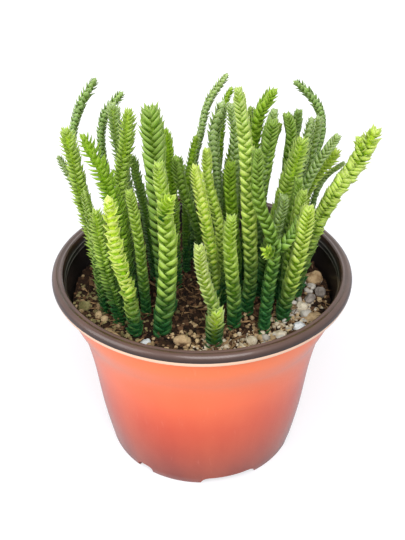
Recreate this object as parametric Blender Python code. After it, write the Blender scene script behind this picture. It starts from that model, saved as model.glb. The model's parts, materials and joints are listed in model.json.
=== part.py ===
"""Potted watch chain crassula: a rolled-rim nursery pot, its soil, loose stones and leafy stems.

Blender 4.5, metres, +Z up. The pot's axis is the Z axis and the pot stands on Z = 0.
The front is towards -Y. Each stem is one solid with its scale leaves and its side shoots.
"""

import math

import bmesh
import bpy
from mathutils import Matrix, Vector, noise

MM = 0.001
GAP = 0.35 * MM  # clear space between neighbouring solids

# Pot
POT_SIDES = 40
RIM_RADIUS = 55.0  # mm
RIM_TOP = 78.0  # mm
WALL = 0.9  # mm
FLOOR_UNDERSIDE = 4.2  # mm, the plate that the soil lies on
PAD_RADIUS = 12.0  # mm, the dimple that carries the middle of the floor
OUTER_WALL = [  # (radius, height) in mm, from the foot to below the rim
    (37.4, 0.0),
    (38.1, 0.9),
    (40.9, 18.0),
    (43.0, 38.0),
    (44.8, 50.0),
    (46.4, 56.0),
    (48.5, 60.5),
    (50.2, 65.0),
    (51.1, 70.0),
    (51.7, 73.6),
]
RIM_SECTION = [  # (in from RIM_RADIUS, down from RIM_TOP) in mm, from under the lip to the inner wall
    (1.3, 4.3),
    (0.3, 3.7),
    (0.0, 2.6),
    (0.3, 1.0),
    (1.3, 0.1),
    (2.5, 0.3),
    (3.4, 0.1),
    (4.1, 0.9),
    (4.3, 2.2),
]
NOTCHES = 7
NOTCH_START = 16.0  # degrees from the front towards +X
WIDE_NOTCHES = (0, 2, 4)
NOTCH_HEIGHT = 3.5  # mm
WIDE_NOTCH = 22.0  # mm
NARROW_NOTCH = 7.0  # mm
DRAIN_RADIUS = 2.4  # mm
DRAIN_CIRCLE = 29.0  # mm

# Soil
SOIL_TOP = 65.0  # mm
SOIL_RINGS = 3
SOIL_BUMP = 0.9  # mm
SOCKET_DEPTH = 6.0  # mm
SOCKET_SIDES = 8
SOCKET_ROOM = 0.8  # mm all round a stem

# Stems
STEM_SIDES = 8
LEAF_STEP = 5.0  # mm between sections, rather more than two leaf pairs
VALLEY = 0.82  # a section's radius between two ranks of leaves, as a share of the full one
TIP_LENGTH = 5.5  # mm over which a stem narrows to its growing point
TIP_SHARES = ((0.5, 0.86), (0.88, 0.5))  # (way along the tip, radius share) of its two sections

# Each stem in mm: its diameter, where it leaves the soil (x, y), and the points (x, y, z) that it
# grows through, the last one its tip.
LEFT_STEMS = [
    (6.6, (-14, -27), [(-12, -26, 81), (-11, -25, 97), (-12, -24.5, 113), (-13.5, -24, 129)]),
    (5.4, (-23, -27), [(-24, -27, 79), (-26, -27.5, 92), (-28, -28, 105), (-28.5, -28, 119)]),
    (4.4, (-28.5, -20.5), [(-30, -20.5, 76), (-32, -21, 87), (-33, -21.5, 99), (-34, -22, 111)]),
    (3.4, (-35, -14), [(-36, -15, 80), (-36.5, -15, 97), (-38, -15, 114)]),
    (5.2, (-26, -13), [(-27.5, -13, 95), (-29.5, -13, 111), (-33, -14, 123), (-37.5, -14, 133)]),
    (4.8, (-36, -6), [(-38, -6, 90), (-40.5, -6, 104), (-42, -6, 118), (-44, -6, 132)]),
    (3.2, (-38, 4), [(-41, 4, 92), (-44.5, 4, 106), (-47, 4, 112), (-49.5, 4, 118)]),
    (3.8, (-40, 15), [(-45, 18, 90), (-48, 20, 108), (-46.5, 22, 121), (-42.5, 23, 131), (-37.5, 24, 138)]),
    (3.8, (-32, 15), [(-34.5, 18, 92), (-36.5, 20, 111), (-36.5, 21, 120), (-34, 21, 128), (-28, 22, 134)]),
    (4.0, (-25, 5), [(-26, 6, 95), (-28, 7, 115), (-29.5, 8, 125), (-30, 8, 135)]),
    (4.6, (-26, -4), [(-27, -5, 91), (-28, -4, 103), (-27.5, -3, 114), (-25, -3, 125), (-23.5, -2, 137)]),
    (4.0, (-20, -16), [(-20.5, -16, 81), (-21, -16, 92), (-22, -16, 104), (-23.5, -16, 115)]),
    (7.0, (-12.5, -14.5), [(-13.5, -14, 90), (-14.5, -13, 111), (-15, -12.5, 126), (-16, -12, 141)]),
    (4.4, (-10, 3), [(-10.5, 3, 95), (-11.5, 4, 118), (-12.5, 4, 128)]),
    (3.8, (1, 8), [(-1, 5, 85), (-3.5, 3, 96), (-7, 1.5, 107), (-8.5, 0, 119)]),
    (3.4, (-18, 7), [(-20.5, 5, 95), (-22.5, 4, 108), (-24, 4, 118)]),
    (3.6, (-6, 13), [(-6, 12, 85), (-5.5, 11, 103), (-4, 12, 112), (-2, 12, 122)]),
]
MIDDLE_STEMS = [
    (3.6, (-4, 21), [(-3.5, 21, 102), (-0.5, 22, 119), (2.5, 23, 131), (9, 24, 140)]),
    (3.8, (4, 15), [(6, 16, 110), (7.5, 16, 131), (10.5, 16, 138)]),
    (4.2, (6, 7), [(6, 7, 101), (5, 7, 113), (4, 8, 124), (7, 8, 135)]),
    (4.0, (12, 2), [(11, 2, 90), (11, 2, 108), (11.5, 2, 125), (9.5, 2, 137)]),
    (4.0, (7.5, -8), [(7.5, -8, 82), (6, -8, 97), (2, -8, 114), (1.5, -8, 126)]),
    (4.6, (5.5, -15), [(4.5, -15, 81), (2.5, -15.5, 96), (0, -16, 110), (-2.5, -16, 124)]),
    (4.4, (5, -31), [(4, -32.5, 79), (0.5, -34.5, 93), (-1, -36, 106)]),
    (5.2, (11.5, -23), [(11, -22.5, 76), (10, -23, 88), (9, -23.5, 99), (9.5, -24, 110)]),
    (4.2, (13, -6), [(12, -6, 85), (9.5, -6, 110), (9.5, -6, 120)]),
    (5.2, (16, -15.5), [(17, -16, 83), (15.5, -16, 105), (14, -16, 127), (10.5, -16, 149)]),
    (4.4, (21.5, -26), [(22.5, -24.5, 82), (23.5, -23, 98), (18, -21.5, 114), (17, -20, 131)]),
    (3.8, (29, -12), [(31, -13, 98), (32.5, -13, 106), (33.5, -13, 113)]),
    (3.8, (12, 17), [(14, 15, 110), (15.5, 14, 121), (17, 14, 132)]),
]
RIGHT_STEMS = [
    (5.4, (28.5, -19), [(30, -19.5, 77), (32, -20, 89), (33, -21, 100), (34, -22, 112)]),
    (5.6, (34.5, -4.5), [(36, -5, 78), (39, -5, 92), (44, -5, 106), (51, -4, 118), (57.5, -4, 131)]),
    (5.8, (21.5, -4), [(25, -4, 88), (28.5, -4, 108), (31, -4, 118), (33, -4, 128)]),
    (4.4, (20, 4), [(20.5, 5, 95), (21.5, 5, 114), (22.5, 6, 124), (24.5, 6, 134)]),
    (3.2, (22, 14), [(22.5, 13, 95), (23.5, 13, 107), (25, 14, 117), (27.5, 14, 126)]),
    (4.0, (29, 8), [(30, 9, 100), (30.5, 9, 117), (31, 9, 124), (28.5, 9, 131)]),
    (3.8, (29, 18), [(32, 18, 105), (33.5, 18, 122), (34, 18, 129)]),
    (3.6, (37, 20), [(38, 20, 95), (41, 20, 109), (43.5, 21, 119), (41, 21, 130), (32.5, 22, 138)]),
    (4.2, (33, 3), [(34.5, 5, 105), (36, 6, 124), (37, 6, 131)]),
    (3.6, (36.5, 13), [(38, 12, 105), (39.5, 12, 121), (40.5, 12, 129)]),
    (3.8, (29.5, -1.5), [(32, -0.5, 90), (34.5, 0, 104), (38, 0.5, 114), (41.5, 0, 121), (45.5, 0, 127)]),
    (3.6, (35.5, 8), [(36.5, 8, 92), (39, 8, 106), (43, 8, 112), (47.5, 8, 118)]),
    (3.0, (40.5, 16), [(41.5, 17, 85), (42.5, 16, 98), (46, 15, 106), (52.5, 14, 111)]),
    (3.8, (28, -7), [(30, -8, 97), (31.5, -8, 106), (32.5, -8, 115)]),
    (4.0, (24, -12), [(25.5, -12, 98), (27, -12, 105), (27, -12, 111)]),
    (4.4, (16, 8.5), [(18, 10, 115), (18.5, 10, 125), (20, 10, 132), (25, 10, 139)]),
]

# Side shoots in mm: the stem that bears it, its diameter, and its points from inside that stem to
# its tip.
SIDE_SHOOTS = [
    ("left_stem_01", 4.4, [(-11.8, -24.6, 107), (-10.3, -25.5, 112), (-8.8, -26.5, 117)]),
    ("middle_stem_11", 3.4, [(23.3, -23.1, 97), (21, -26, 99), (20, -27.5, 103)]),
    ("right_stem_02", 3.4, [(53.2, -4.2, 121.5), (52.2, -4.8, 126), (51.8, -5, 131)]),
    ("middle_stem_07", 3.0, [(4.2, -32.3, 77), (6.5, -34, 79), (7.5, -35, 84)]),
]

STONE_WEAR = 0.25  # how far a stone departs from an ellipsoid
# Stones in mm: name, centre (x, y, z), half sizes, turn about Z in degrees, colour.
TAN = (0.62, 0.50, 0.36)
GREY = (0.45, 0.42, 0.40)
PALE = (0.80, 0.76, 0.68)
WHITE = (0.86, 0.86, 0.87)
OLIVE = (0.34, 0.30, 0.18)
STONES = [
    ("stone_tan_large", (43, 5.5, 66), (4.0, 3.2, 2.8), 20, TAN),
    ("stone_grey_left", (40, -7.5, 65.8), (2.4, 2.0, 1.8), 50, GREY),
    ("stone_grey_right", (44.5, -3, 65.8), (2.6, 2.2, 1.9), 110, GREY),
    ("stone_cluster", (36.5, -12.5, 65.8), (2.6, 2.0, 1.8), 75, PALE),
    ("stone_tan_flat", (39.5, -18.5, 65.6), (3.4, 2.4, 1.5), 10, TAN),
    ("stone_blue_white", (34.5, -25, 65.8), (2.2, 2.8, 1.8), 35, WHITE),
    ("stone_front_pale", (27, -29, 65.8), (2.4, 1.9, 1.7), 140, PALE),
    ("stone_front_pair", (17, -32, 65.8), (2.0, 1.8, 1.6), 60, PALE),
    ("stone_front_tan", (-6.5, -32, 65.8), (3.0, 2.1, 1.9), 165, TAN),
    ("stone_perlite", (-19, -33.5, 65.8), (2.0, 1.8, 1.6), 25, WHITE),
    ("stone_olive", (-43, -12, 65.8), (2.6, 2.1, 1.8), 95, OLIVE),
    ("stone_back", (-12, 30, 65.8), (2.8, 2.3, 1.8), 15, TAN),
]

TERRACOTTA = (0.80, 0.24, 0.12)
PEAT = (0.05, 0.03, 0.02)
LEAF_GREEN = (0.16, 0.36, 0.04)
YOUNG_GREEN = (0.30, 0.50, 0.06)
DARK_GREEN = (0.05, 0.17, 0.05)


def clear_scene():
    for thing in list(bpy.data.objects):
        bpy.data.objects.remove(thing, do_unlink=True)


def material(name, colour, roughness):
    """A Principled material with one colour and no metal."""
    made = bpy.data.materials.new(name)
    made.use_nodes = True
    shader = made.node_tree.nodes["Principled BSDF"]
    shader.inputs["Base Color"].default_value = (*colour, 1.0)
    shader.inputs["Roughness"].default_value = roughness
    shader.inputs["Metallic"].default_value = 0.0
    return made


def finish(name, mesh, surface, sharp_degrees=40):
    """Turns a bmesh into a smooth-shaded object with outward faces and its own material."""
    bmesh.ops.recalc_face_normals(mesh, faces=mesh.faces)
    data = bpy.data.meshes.new(name)
    mesh.to_mesh(data)
    mesh.free()
    data.shade_smooth()
    data.set_sharp_from_angle(angle=math.radians(sharp_degrees))
    made = bpy.data.objects.new(name, data)
    bpy.context.scene.collection.objects.link(made)
    if surface:
        data.materials.append(surface)
    return made


def as_cutter(made, group):
    """Keeps an object out of the renders and the build, as a tool in a Boolean group."""
    made.hide_render = True
    made.display_type = "WIRE"
    bpy.context.scene.collection.objects.unlink(made)
    group.objects.link(made)


def cut_away(target, group):
    modifier = target.modifiers.new("cut_" + group.name, "BOOLEAN")
    modifier.operation = "DIFFERENCE"
    modifier.operand_type = "COLLECTION"
    modifier.collection = group
    modifier.solver = "EXACT"


def cutter_group(name):
    made = bpy.data.collections.new(name)
    bpy.context.scene.collection.children.link(made)
    return made


def turned(profile, sides):
    """Spins (radius, height) points in mm, from the axis to the axis, into one closed body."""
    mesh = bmesh.new()
    points = [mesh.verts.new((r * MM, 0.0, z * MM)) for r, z in profile]
    edges = [mesh.edges.new(pair) for pair in zip(points, points[1:])]
    bmesh.ops.spin(
        mesh,
        geom=points + edges,
        cent=(0, 0, 0),
        axis=(0, 0, 1),
        angle=math.tau,
        steps=sides,
        use_duplicate=False,
    )
    bmesh.ops.remove_doubles(mesh, verts=mesh.verts, dist=0.001 * MM)
    return mesh


def inner_wall():
    """The pot's inner wall as (radius, height) in mm, from the rim down to the floor."""
    floor_top = FLOOR_UNDERSIDE + WALL
    foot = (OUTER_WALL[1][0] - WALL + 0.5, floor_top)
    return [(r - WALL, z) for r, z in reversed(OUTER_WALL[2:])] + [foot]


def inner_radius(height):
    """The radius in mm of the pot's inside at this height in mm."""
    steps = inner_wall()
    for (r_high, z_high), (r_low, z_low) in zip(steps, steps[1:]):
        if z_low <= height <= z_high:
            return r_low + (r_high - r_low) * (height - z_low) / (z_high - z_low)
    return steps[0][0]


def pot():
    """One thin wall: a dimpled floor on a notched foot, a stepped side and a rolled rim."""
    slope = 1.6
    floor_top = FLOOR_UNDERSIDE + WALL
    foot_radius = OUTER_WALL[0][0]
    profile = [(0, 0), (PAD_RADIUS, 0), (PAD_RADIUS + slope, FLOOR_UNDERSIDE)]
    profile += [(foot_radius - 1.6, FLOOR_UNDERSIDE), (foot_radius - 1.2, 0)]
    profile += OUTER_WALL
    profile += [(RIM_RADIUS - r, RIM_TOP - z) for r, z in RIM_SECTION]
    profile += inner_wall()
    profile += [(PAD_RADIUS + slope - 0.3, floor_top), (PAD_RADIUS - 0.6, WALL), (0, WALL)]
    made = finish("pot", turned(profile, POT_SIDES), material("terracotta", TERRACOTTA, 0.4))
    cutters = cutter_group("pot_cutters")
    for index in range(NOTCHES):
        angle = math.radians(NOTCH_START + index * 360 / NOTCHES)
        width = WIDE_NOTCH if index in WIDE_NOTCHES else NARROW_NOTCH
        as_cutter(notch_cutter(f"notch_{index + 1}", angle, width), cutters)
        as_cutter(drain_cutter(f"drain_{index + 1}", angle), cutters)
    cut_away(made, cutters)


def outward(angle):
    """The level direction at this angle from the front, positive towards +X."""
    return Vector((math.sin(angle), -math.cos(angle), 0.0))


def notch_cutter(name, angle, width):
    """A bar with an arched top that passes through the foot in the radial direction."""
    half = width / 2
    shoulder = min(4.0, half * 0.5)
    arch = [(-half, -2.0), (-half + 0.25 * shoulder, 0.55 * NOTCH_HEIGHT)]
    arch += [(-half + shoulder, NOTCH_HEIGHT), (half - shoulder, NOTCH_HEIGHT)]
    arch += [(half - 0.25 * shoulder, 0.55 * NOTCH_HEIGHT), (half, -2.0)]
    out = outward(angle)
    side = Vector((0, 0, 1)).cross(out)
    mesh = bmesh.new()
    corners = [mesh.verts.new((out * 31.0 + side * s + Vector((0, 0, z))) * MM) for s, z in arch]
    face = mesh.faces.new(corners)
    pushed = bmesh.ops.extrude_face_region(mesh, geom=[face])["geom"]
    moved = [item for item in pushed if isinstance(item, bmesh.types.BMVert)]
    bmesh.ops.translate(mesh, verts=moved, vec=out * 12.0 * MM)
    return finish(name, mesh, None)


def drain_cutter(name, angle):
    centre = outward(angle) * DRAIN_CIRCLE * MM
    return post(name, centre.x, centre.y, 3.0 * MM, 7.0 * MM, DRAIN_RADIUS * MM, 8)


def post(name, x, y, low, high, radius, sides):
    """An upright round bar, in metres."""
    mesh = bmesh.new()
    bmesh.ops.create_cone(
        mesh,
        cap_ends=True,
        segments=sides,
        radius1=radius,
        radius2=radius,
        depth=high - low,
    )
    bmesh.ops.translate(mesh, verts=mesh.verts, vec=(x, y, (low + high) / 2))
    return finish(name, mesh, None)


def soil():
    """The peat fill, clear of the pot, with an uneven top."""
    gap = GAP / MM
    floor = FLOOR_UNDERSIDE + WALL + gap
    inside = [(r - gap, z) for r, z in inner_wall() if z < SOIL_TOP - 1]
    profile = [(0, WALL + gap), (PAD_RADIUS - 1.1, WALL + gap), (PAD_RADIUS + 0.6, floor)]
    profile += [(inside[-1][0], floor)] + inside[-2::-1]
    edge = inner_radius(SOIL_TOP) - gap - 0.4
    profile += [(edge * (SOIL_RINGS - ring) / SOIL_RINGS, SOIL_TOP) for ring in range(SOIL_RINGS + 1)]
    mesh = turned(profile, POT_SIDES)
    for point in mesh.verts:
        if point.co.z > (SOIL_TOP - 0.5) * MM and point.co.xy.length < (edge - 2) * MM:
            point.co.z += SOIL_BUMP * MM * noise.noise(point.co * 90)
    made = finish("soil", mesh, material("peat", PEAT, 0.95))
    return made


def through(points, step):
    """Points every step or so along a smooth curve through these points."""
    padded = [2 * points[0] - points[1], *points, 2 * points[-1] - points[-2]]
    curve = []
    for a, b, c, d in zip(padded, padded[1:], padded[2:], padded[3:]):
        for part in range(12):
            t = part / 12
            bend = (2 * a - 5 * b + 4 * c - d) * t**2
            twist = (3 * b - a - 3 * c + d) * t**3
            curve.append(0.5 * (2 * b + (c - a) * t + bend + twist))
    curve.append(points[-1])
    length = sum((q - p).length for p, q in zip(curve, curve[1:]))
    count = max(2, round(length / step))
    even = [curve[0]]
    walked = 0.0
    for p, q in zip(curve, curve[1:]):
        piece = (q - p).length
        while len(even) <= count and walked + piece >= len(even) * length / count - 1e-9:
            even.append(p.lerp(q, (len(even) * length / count - walked) / piece))
        walked += piece
    return even


def frames(path):
    """A direction and two sides for each point, turned as little as possible along the path."""
    side = Vector((1, 0, 0))
    made = []
    for index, point in enumerate(path):
        ahead = path[min(index + 1, len(path) - 1)] - path[max(index - 1, 0)]
        ahead.normalize()
        side = (side - ahead * side.dot(ahead)).normalized()
        made.append((point, side, ahead.cross(side)))
    return made


def knobbly(points, diameter):
    """A closed stem in mm: sections whose four leaf ranks turn by half a step at each section."""
    path = through(points, LEAF_STEP)
    tip = path[-1]
    whole = [spot for spot in frames(path) if (spot[0] - tip).length > TIP_LENGTH * 0.9]
    sections = [(spot, 1.0) for spot in whole]
    start, side, other = whole[-1]
    for share, width in TIP_SHARES:
        sections.append(((start.lerp(tip, share), side, other), width))
    mesh = bmesh.new()
    rings = []
    for level, ((centre, side, other), width) in enumerate(sections):
        ring = []
        for corner in range(STEM_SIDES):
            angle = math.tau * (corner + 0.5) / STEM_SIDES
            lobe = 1.0 if (corner + level) % 2 == 0 else VALLEY
            out = (side * math.cos(angle) + other * math.sin(angle)) * lobe * width * diameter / 2
            ring.append(mesh.verts.new((centre + out) * MM))
        rings.append(ring)
    mesh.faces.new(rings[0])
    for low, high in zip(rings, rings[1:]):
        for a in range(STEM_SIDES):
            b = (a + 1) % STEM_SIDES
            mesh.faces.new((low[a], low[b], high[b], high[a]))
    point = mesh.verts.new(tip * MM)
    for a in range(STEM_SIDES):
        mesh.faces.new((rings[-1][a], rings[-1][(a + 1) % STEM_SIDES], point))
    return mesh


def stem(name, diameter, base, points, surface, sockets):
    """A stem planted upright in the soil, and the socket that it stands in."""
    x, y = base
    path = [Vector((x, y, SOIL_TOP - SOCKET_DEPTH + 0.4)), Vector((x, y, SOIL_TOP + 0.5))]
    path += [Vector(point) for point in points]
    finish(name, knobbly(path, diameter), surface, 70)
    radius = (diameter / 2 + SOCKET_ROOM) * MM
    low = (SOIL_TOP - SOCKET_DEPTH) * MM
    high = (SOIL_TOP + 4) * MM
    as_cutter(post("socket_" + name, x * MM, y * MM, low, high, radius, SOCKET_SIDES), sockets)


def side_shoot(bearer, diameter, points):
    """A short shoot joined to the stem that bears it."""
    shoot = finish(bearer + "_shoot", knobbly([Vector(point) for point in points], diameter), None)
    group = cutter_group(bearer + "_shoots")
    as_cutter(shoot, group)
    modifier = bpy.data.objects[bearer].modifiers.new("side_shoot", "BOOLEAN")
    modifier.operation = "UNION"
    modifier.operand_type = "COLLECTION"
    modifier.collection = group
    modifier.solver = "EXACT"


def stone(name, centre, half_sizes, turn, colour, seats):
    """A worn stone, and the slightly larger copy that seats it in the soil."""
    largest = max(half_sizes)
    for title, grow in ((name, 0.0), ("seat_" + name, GAP / MM)):
        mesh = bmesh.new()
        bmesh.ops.create_icosphere(mesh, subdivisions=2, radius=1.0)
        for point in mesh.verts:
            unit = point.co.normalized()
            swell = 1 + STONE_WEAR * noise.noise(unit * 1.4 + Vector(centre))
            point.co = Vector([u * (s * swell + grow) for u, s in zip(unit, half_sizes)])
        bmesh.ops.rotate(mesh, verts=mesh.verts, matrix=Matrix.Rotation(math.radians(turn), 3, "Z"))
        bmesh.ops.translate(mesh, verts=mesh.verts, vec=centre)
        bmesh.ops.scale(mesh, verts=mesh.verts, vec=(MM, MM, MM))
        if grow == 0:
            finish(title, mesh, material(name, colour, 0.9))
        else:
            as_cutter(finish(title, mesh, None), seats)


def main():
    clear_scene()
    pot()
    ground = soil()
    hollows = cutter_group("soil_cutters")
    greens = (LEAF_GREEN, YOUNG_GREEN, DARK_GREEN)
    for side, rows in (("left", LEFT_STEMS), ("middle", MIDDLE_STEMS), ("right", RIGHT_STEMS)):
        for index, (diameter, base, points) in enumerate(rows):
            name = f"{side}_stem_{index + 1:02d}"
            surface = material(name, greens[index % len(greens)], 0.55)
            stem(name, diameter, base, points, surface, hollows)
    for bearer, diameter, points in SIDE_SHOOTS:
        side_shoot(bearer, diameter, points)
    for row in STONES:
        stone(*row, hollows)
    cut_away(ground, hollows)


main()
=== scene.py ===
"""Potted watch chain crassula: the finished surfaces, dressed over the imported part.

Blender 4.5, metres, +Z up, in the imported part's own frame. The front is towards -Y. Lengths in the
tables and profiles are in mm. Every leafy stem stands along the middle of its plain solid, and the
pot, the soil and the stones stand in the places of theirs.
"""

import json
import math
import random

import bpy
from mathutils import Matrix, Vector
from mathutils.bvhtree import BVHTree


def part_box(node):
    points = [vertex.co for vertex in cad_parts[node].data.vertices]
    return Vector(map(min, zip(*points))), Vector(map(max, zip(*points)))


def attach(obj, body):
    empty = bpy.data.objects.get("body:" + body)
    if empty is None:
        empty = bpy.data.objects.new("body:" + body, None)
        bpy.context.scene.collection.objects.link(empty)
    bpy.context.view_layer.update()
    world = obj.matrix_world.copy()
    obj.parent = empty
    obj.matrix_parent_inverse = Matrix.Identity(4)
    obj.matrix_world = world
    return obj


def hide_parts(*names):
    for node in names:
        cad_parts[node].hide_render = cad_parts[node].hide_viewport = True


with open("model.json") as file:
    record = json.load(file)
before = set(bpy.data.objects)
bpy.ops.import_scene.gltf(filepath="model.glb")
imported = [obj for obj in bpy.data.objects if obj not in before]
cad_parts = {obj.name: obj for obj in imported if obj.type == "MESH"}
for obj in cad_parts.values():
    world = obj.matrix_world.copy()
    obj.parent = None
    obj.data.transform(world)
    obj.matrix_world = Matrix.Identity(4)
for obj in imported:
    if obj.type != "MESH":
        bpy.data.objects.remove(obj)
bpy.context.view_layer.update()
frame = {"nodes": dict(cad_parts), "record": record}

MM = 0.001
SEED = 41

# Pot, in mm, as turned in the part
POT_STEPS = 128
WALL = 0.9
FLOOR_UNDERSIDE = 4.2
PAD_RADIUS = 12.0
PAD_SLOPE = 1.6  # how much wider the pad is where it meets the floor
FOOT_WIDTH = 1.2  # of the ring that the pot stands on
FOOT_SLOPE = 0.4
OUTER_WALL = [  # (radius, height) from the foot to below the rim
    (37.4, 0.0),
    (38.1, 0.9),
    (40.9, 18.0),
    (43.0, 38.0),
    (44.9, 50.0),
    (46.4, 56.0),
    (48.2, 60.5),
    (49.9, 65.0),
    (51.1, 70.0),
    (51.7, 73.6),
]
RIM_SECTION = [  # (in from the rim's radius, down from its top), from under the lip to the wall
    (1.3, 4.3),
    (0.9, 4.35),
    (0.45, 4.1),
    (0.2, 3.5),
    (0.05, 2.6),
    (0.05, 1.9),
    (0.25, 1.1),
    (0.7, 0.45),
    (1.3, 0.1),
    (1.8, 0.08),
    (2.3, 0.35),
    (2.7, 0.4),
    (3.1, 0.15),
    (3.5, 0.12),
    (3.95, 0.5),
    (4.15, 1.2),
    (4.3, 2.2),
    (4.75, 3.1),
    (4.45, 3.7),
    (4.9, 5.0),
    (4.6, 5.6),
]
LIP_HIGHLIGHT_HEIGHT = 1.5  # of the pale band along the lip's lower edge, a painted highlight
NOTCHES = 7
NOTCH_START = 16.0  # degrees from the front towards +X
WIDE_NOTCHES = (0, 2, 4)
NOTCH_RADIUS = 37.0  # of the circle that the middles of the notches stand on
NOTCH_DEPTH = 12.0
NOTCH_HEIGHT = 3.5
NOTCH_ROUND = 3.2
WIDE_NOTCH = 22.0
NARROW_NOTCH = 7.0
DRAIN_RADIUS = 2.4
DRAIN_CIRCLE = 29.0

# Where the pot's colours change, as heights in m
# Painted light and shade on the terracotta: lighter over the first rise, darker down towards the foot
# over the second.
CLAY_PAINTED_LIGHT = (0.032, 0.066)
CLAY_PAINTED_SHADE = (0.046, 0.004)
LINING_DARKER = (0.0778, 0.0752)
RIDGE_HIGHLIGHTS = (0.0749, 0.0730)  # the two ridges inside the rim, with painted highlights along their pale crests
RIDGE_HIGHLIGHT_HALF = 0.0004

# Soil, in mm
SOIL_TOP = 65.0
SOIL_VOXEL = 1.0
SOIL_EDGE = 48.6
SOIL_GAP = 0.3  # between the soil and the pot
SOIL_RELIEF = (("swell", 9.0, 1.6), ("clod", 2.6, 1.7), ("crumb", 1.1, 0.9))  # name, size, height
STONE_RELIEF = (("facet", 2.2, 0.9), ("chip", 0.8, 0.35))
FIBRE_RADIUS = 0.03
FIBRE_MIDDLE = 0.34
FIBRE_END = 0.33  # how much longer each end makes it
FIBRE_BENDS = (0.05, 0.12, -0.09)
SCATTER_REACH = 48.0
SCATTER_EDGE = 0.6  # the least way between a grain's middle and the soil's edge

# Leaves, as shares of the diameter of the stem that bears them
LEAF_LENGTH = 1.10
LEAF_SECTION = [  # (across, outwards) round a leaf's widest section: keel, right rim, hollow, left rim
    (0.0, 0.11),
    (0.25, 0.05),
    (0.41, -0.13),
    (0.0, -0.06),
    (-0.41, -0.13),
    (-0.25, 0.05),
]
LEAF_STATIONS = [  # (share of the length, share of the widest section, degrees of curl)
    (0.0, 0.62, 0.0),
    (0.22, 1.0, 8.0),
    (0.45, 0.94, 11.0),
    (0.66, 0.56, 3.0),
    (0.82, 0.22, -10.0),
    (1.0, 0.03, 0.0),
]
LEAF_HEIGHT = 0.94  # how high it stands, against its length
LEAF_WIDEST = 0.3  # way along it where it begins to narrow
LEAF_SET = 14.0  # degrees by which a leaf leaves its stem wider than its own lean
LEAF_ROOT = 0.15  # how far out of the stem's middle a leaf starts
SMALLEST = 0.74  # the size of a leaf at the growing point
THINNEST = 0.55  # its thickness there
BUD = [(20.0, 0.66, 0.03), (10.0, 0.60, 0.06), (0.0, 0.52, 0.10)]  # closed pairs: lean, size, rise
BRAID_SIZE = 0.87  # leaves of a braid, against the full diameter of their stem
FACE_ON_SIZE = 0.75  # leaves in ranks that face forwards and sideways
CORE_RADIUS = 0.22  # of the thin stem between the leaves

# How far below the growing point things change, in diameters
TIP_REACH = 0.6  # leaves nearer than this are still opening
SMALL_REACH = 0.9  # and growing to their full size
THIN_REACH = 4.0  # and to their full thickness
HEAD_REACH = 6.0  # a head has its stem's own width from here on
LOOSE_REACH = 2.5  # pairs stand as loose as their habit says from here on
LAST_RISE = 5.0  # leaves nearer than this turn to the green of the tip
SHOOT_RISE = 1.4  # and on a side shoot, nearer than this
TIP_LEAVES = 0.54  # the growing point is this far below the tips of the last leaves

# How far above a stem's root things change
FOOT_REACH = 3.0  # diameters to where it is full grown
HALF_RISE = 44 * MM  # up to here its leaves gain the first half of their youth
NEXT_RISE = 60 * MM  # and up to here the next quarter
CORE_YOUTH = 1.15  # how far the youth of the thin stem rises by the growing point

# Pairs of leaves
PAIR_STEP_TIP = 0.15  # diameters between the youngest pairs
PAIR_STEP_GROWN = 0.13  # diameters between grown pairs, on top of PAIR_STEP_LEAST
PAIR_STEP_LEAST = 1.0 * MM
LEAN_TIP = 30.0  # degrees between a leaf and its stem at the growing point
LEAN_BASE = 34.0  # at the soil
LEAN_GROWN = 32.0  # and between the two
SHOOT_FLARE = 18.0  # degrees more that a side shoot's leaves lean at full flare
SHOOT_STEP = 1.7  # how much further apart its pairs stand at full flare

# Finding a stem's middle in its plain solid
ROOT_DEPTH = 3.0 * MM  # how far a stem's leaves go on below its first level cut
LEVEL_STEP = 1.5 * MM  # between level cuts
SECTION_FULLNESS = 1.08  # a knobbly section's full diameter against its perimeter over pi
FIRST_CUT = (SOIL_TOP + 1.2) * MM
LAST_CUT = 0.6 * MM  # below the top of the solid
TIP_SEARCH = 1.1  # diameters round the last cut's middle in which the tip is looked for
FORKED = 1.15  # how much longer a cut gets where a side shoot leaves its stem

# Camera and light
CAMERA_PLACE = (0.0002, -0.2184, 0.2172)
CAMERA_AIM = (0.0002, 0.0, 0.0737)
CAMERA_LENS = 46.67
LAMP_AIM = (0, 0, 0.07)
FLOOR_LIFT = 0.50  # share of white that the floor shows of itself near the pot
FLOOR_FADE = (0.12, 0.6)  # m from the middle over which that rises to all of it
WORLD_LIGHT = 0.50
KEY_PLACE = (0.16, -0.80, 0.90)
KEY_SIZE = 0.8
KEY_WATTS = 11.5
FILL_PLACE = (-0.85, -0.45, 0.50)
FILL_SIZE = 0.8
FILL_WATTS = 6.0


def srgb(red, green, blue):
    """A colour written as it shows on a screen, 0 to 255, as Blender's linear one."""
    channels = []
    for value in (red, green, blue):
        share = value / 255
        channels.append(share / 12.92 if share <= 0.04045 else ((share + 0.055) / 1.055) ** 2.4)
    return (*channels, 1.0)


# Greens that all the stems share
# The dark green low on the stems is partly the old leaves' own colour and partly painted shade; next is
# its pale rim.
OLD_AND_SHADED_GREEN = srgb(28, 94, 44)
OLD_AND_SHADED_EDGE = srgb(92, 152, 88)
TIP_GREEN = srgb(200, 234, 64)


# ---------------------------------------------------------------- shader maths


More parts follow.
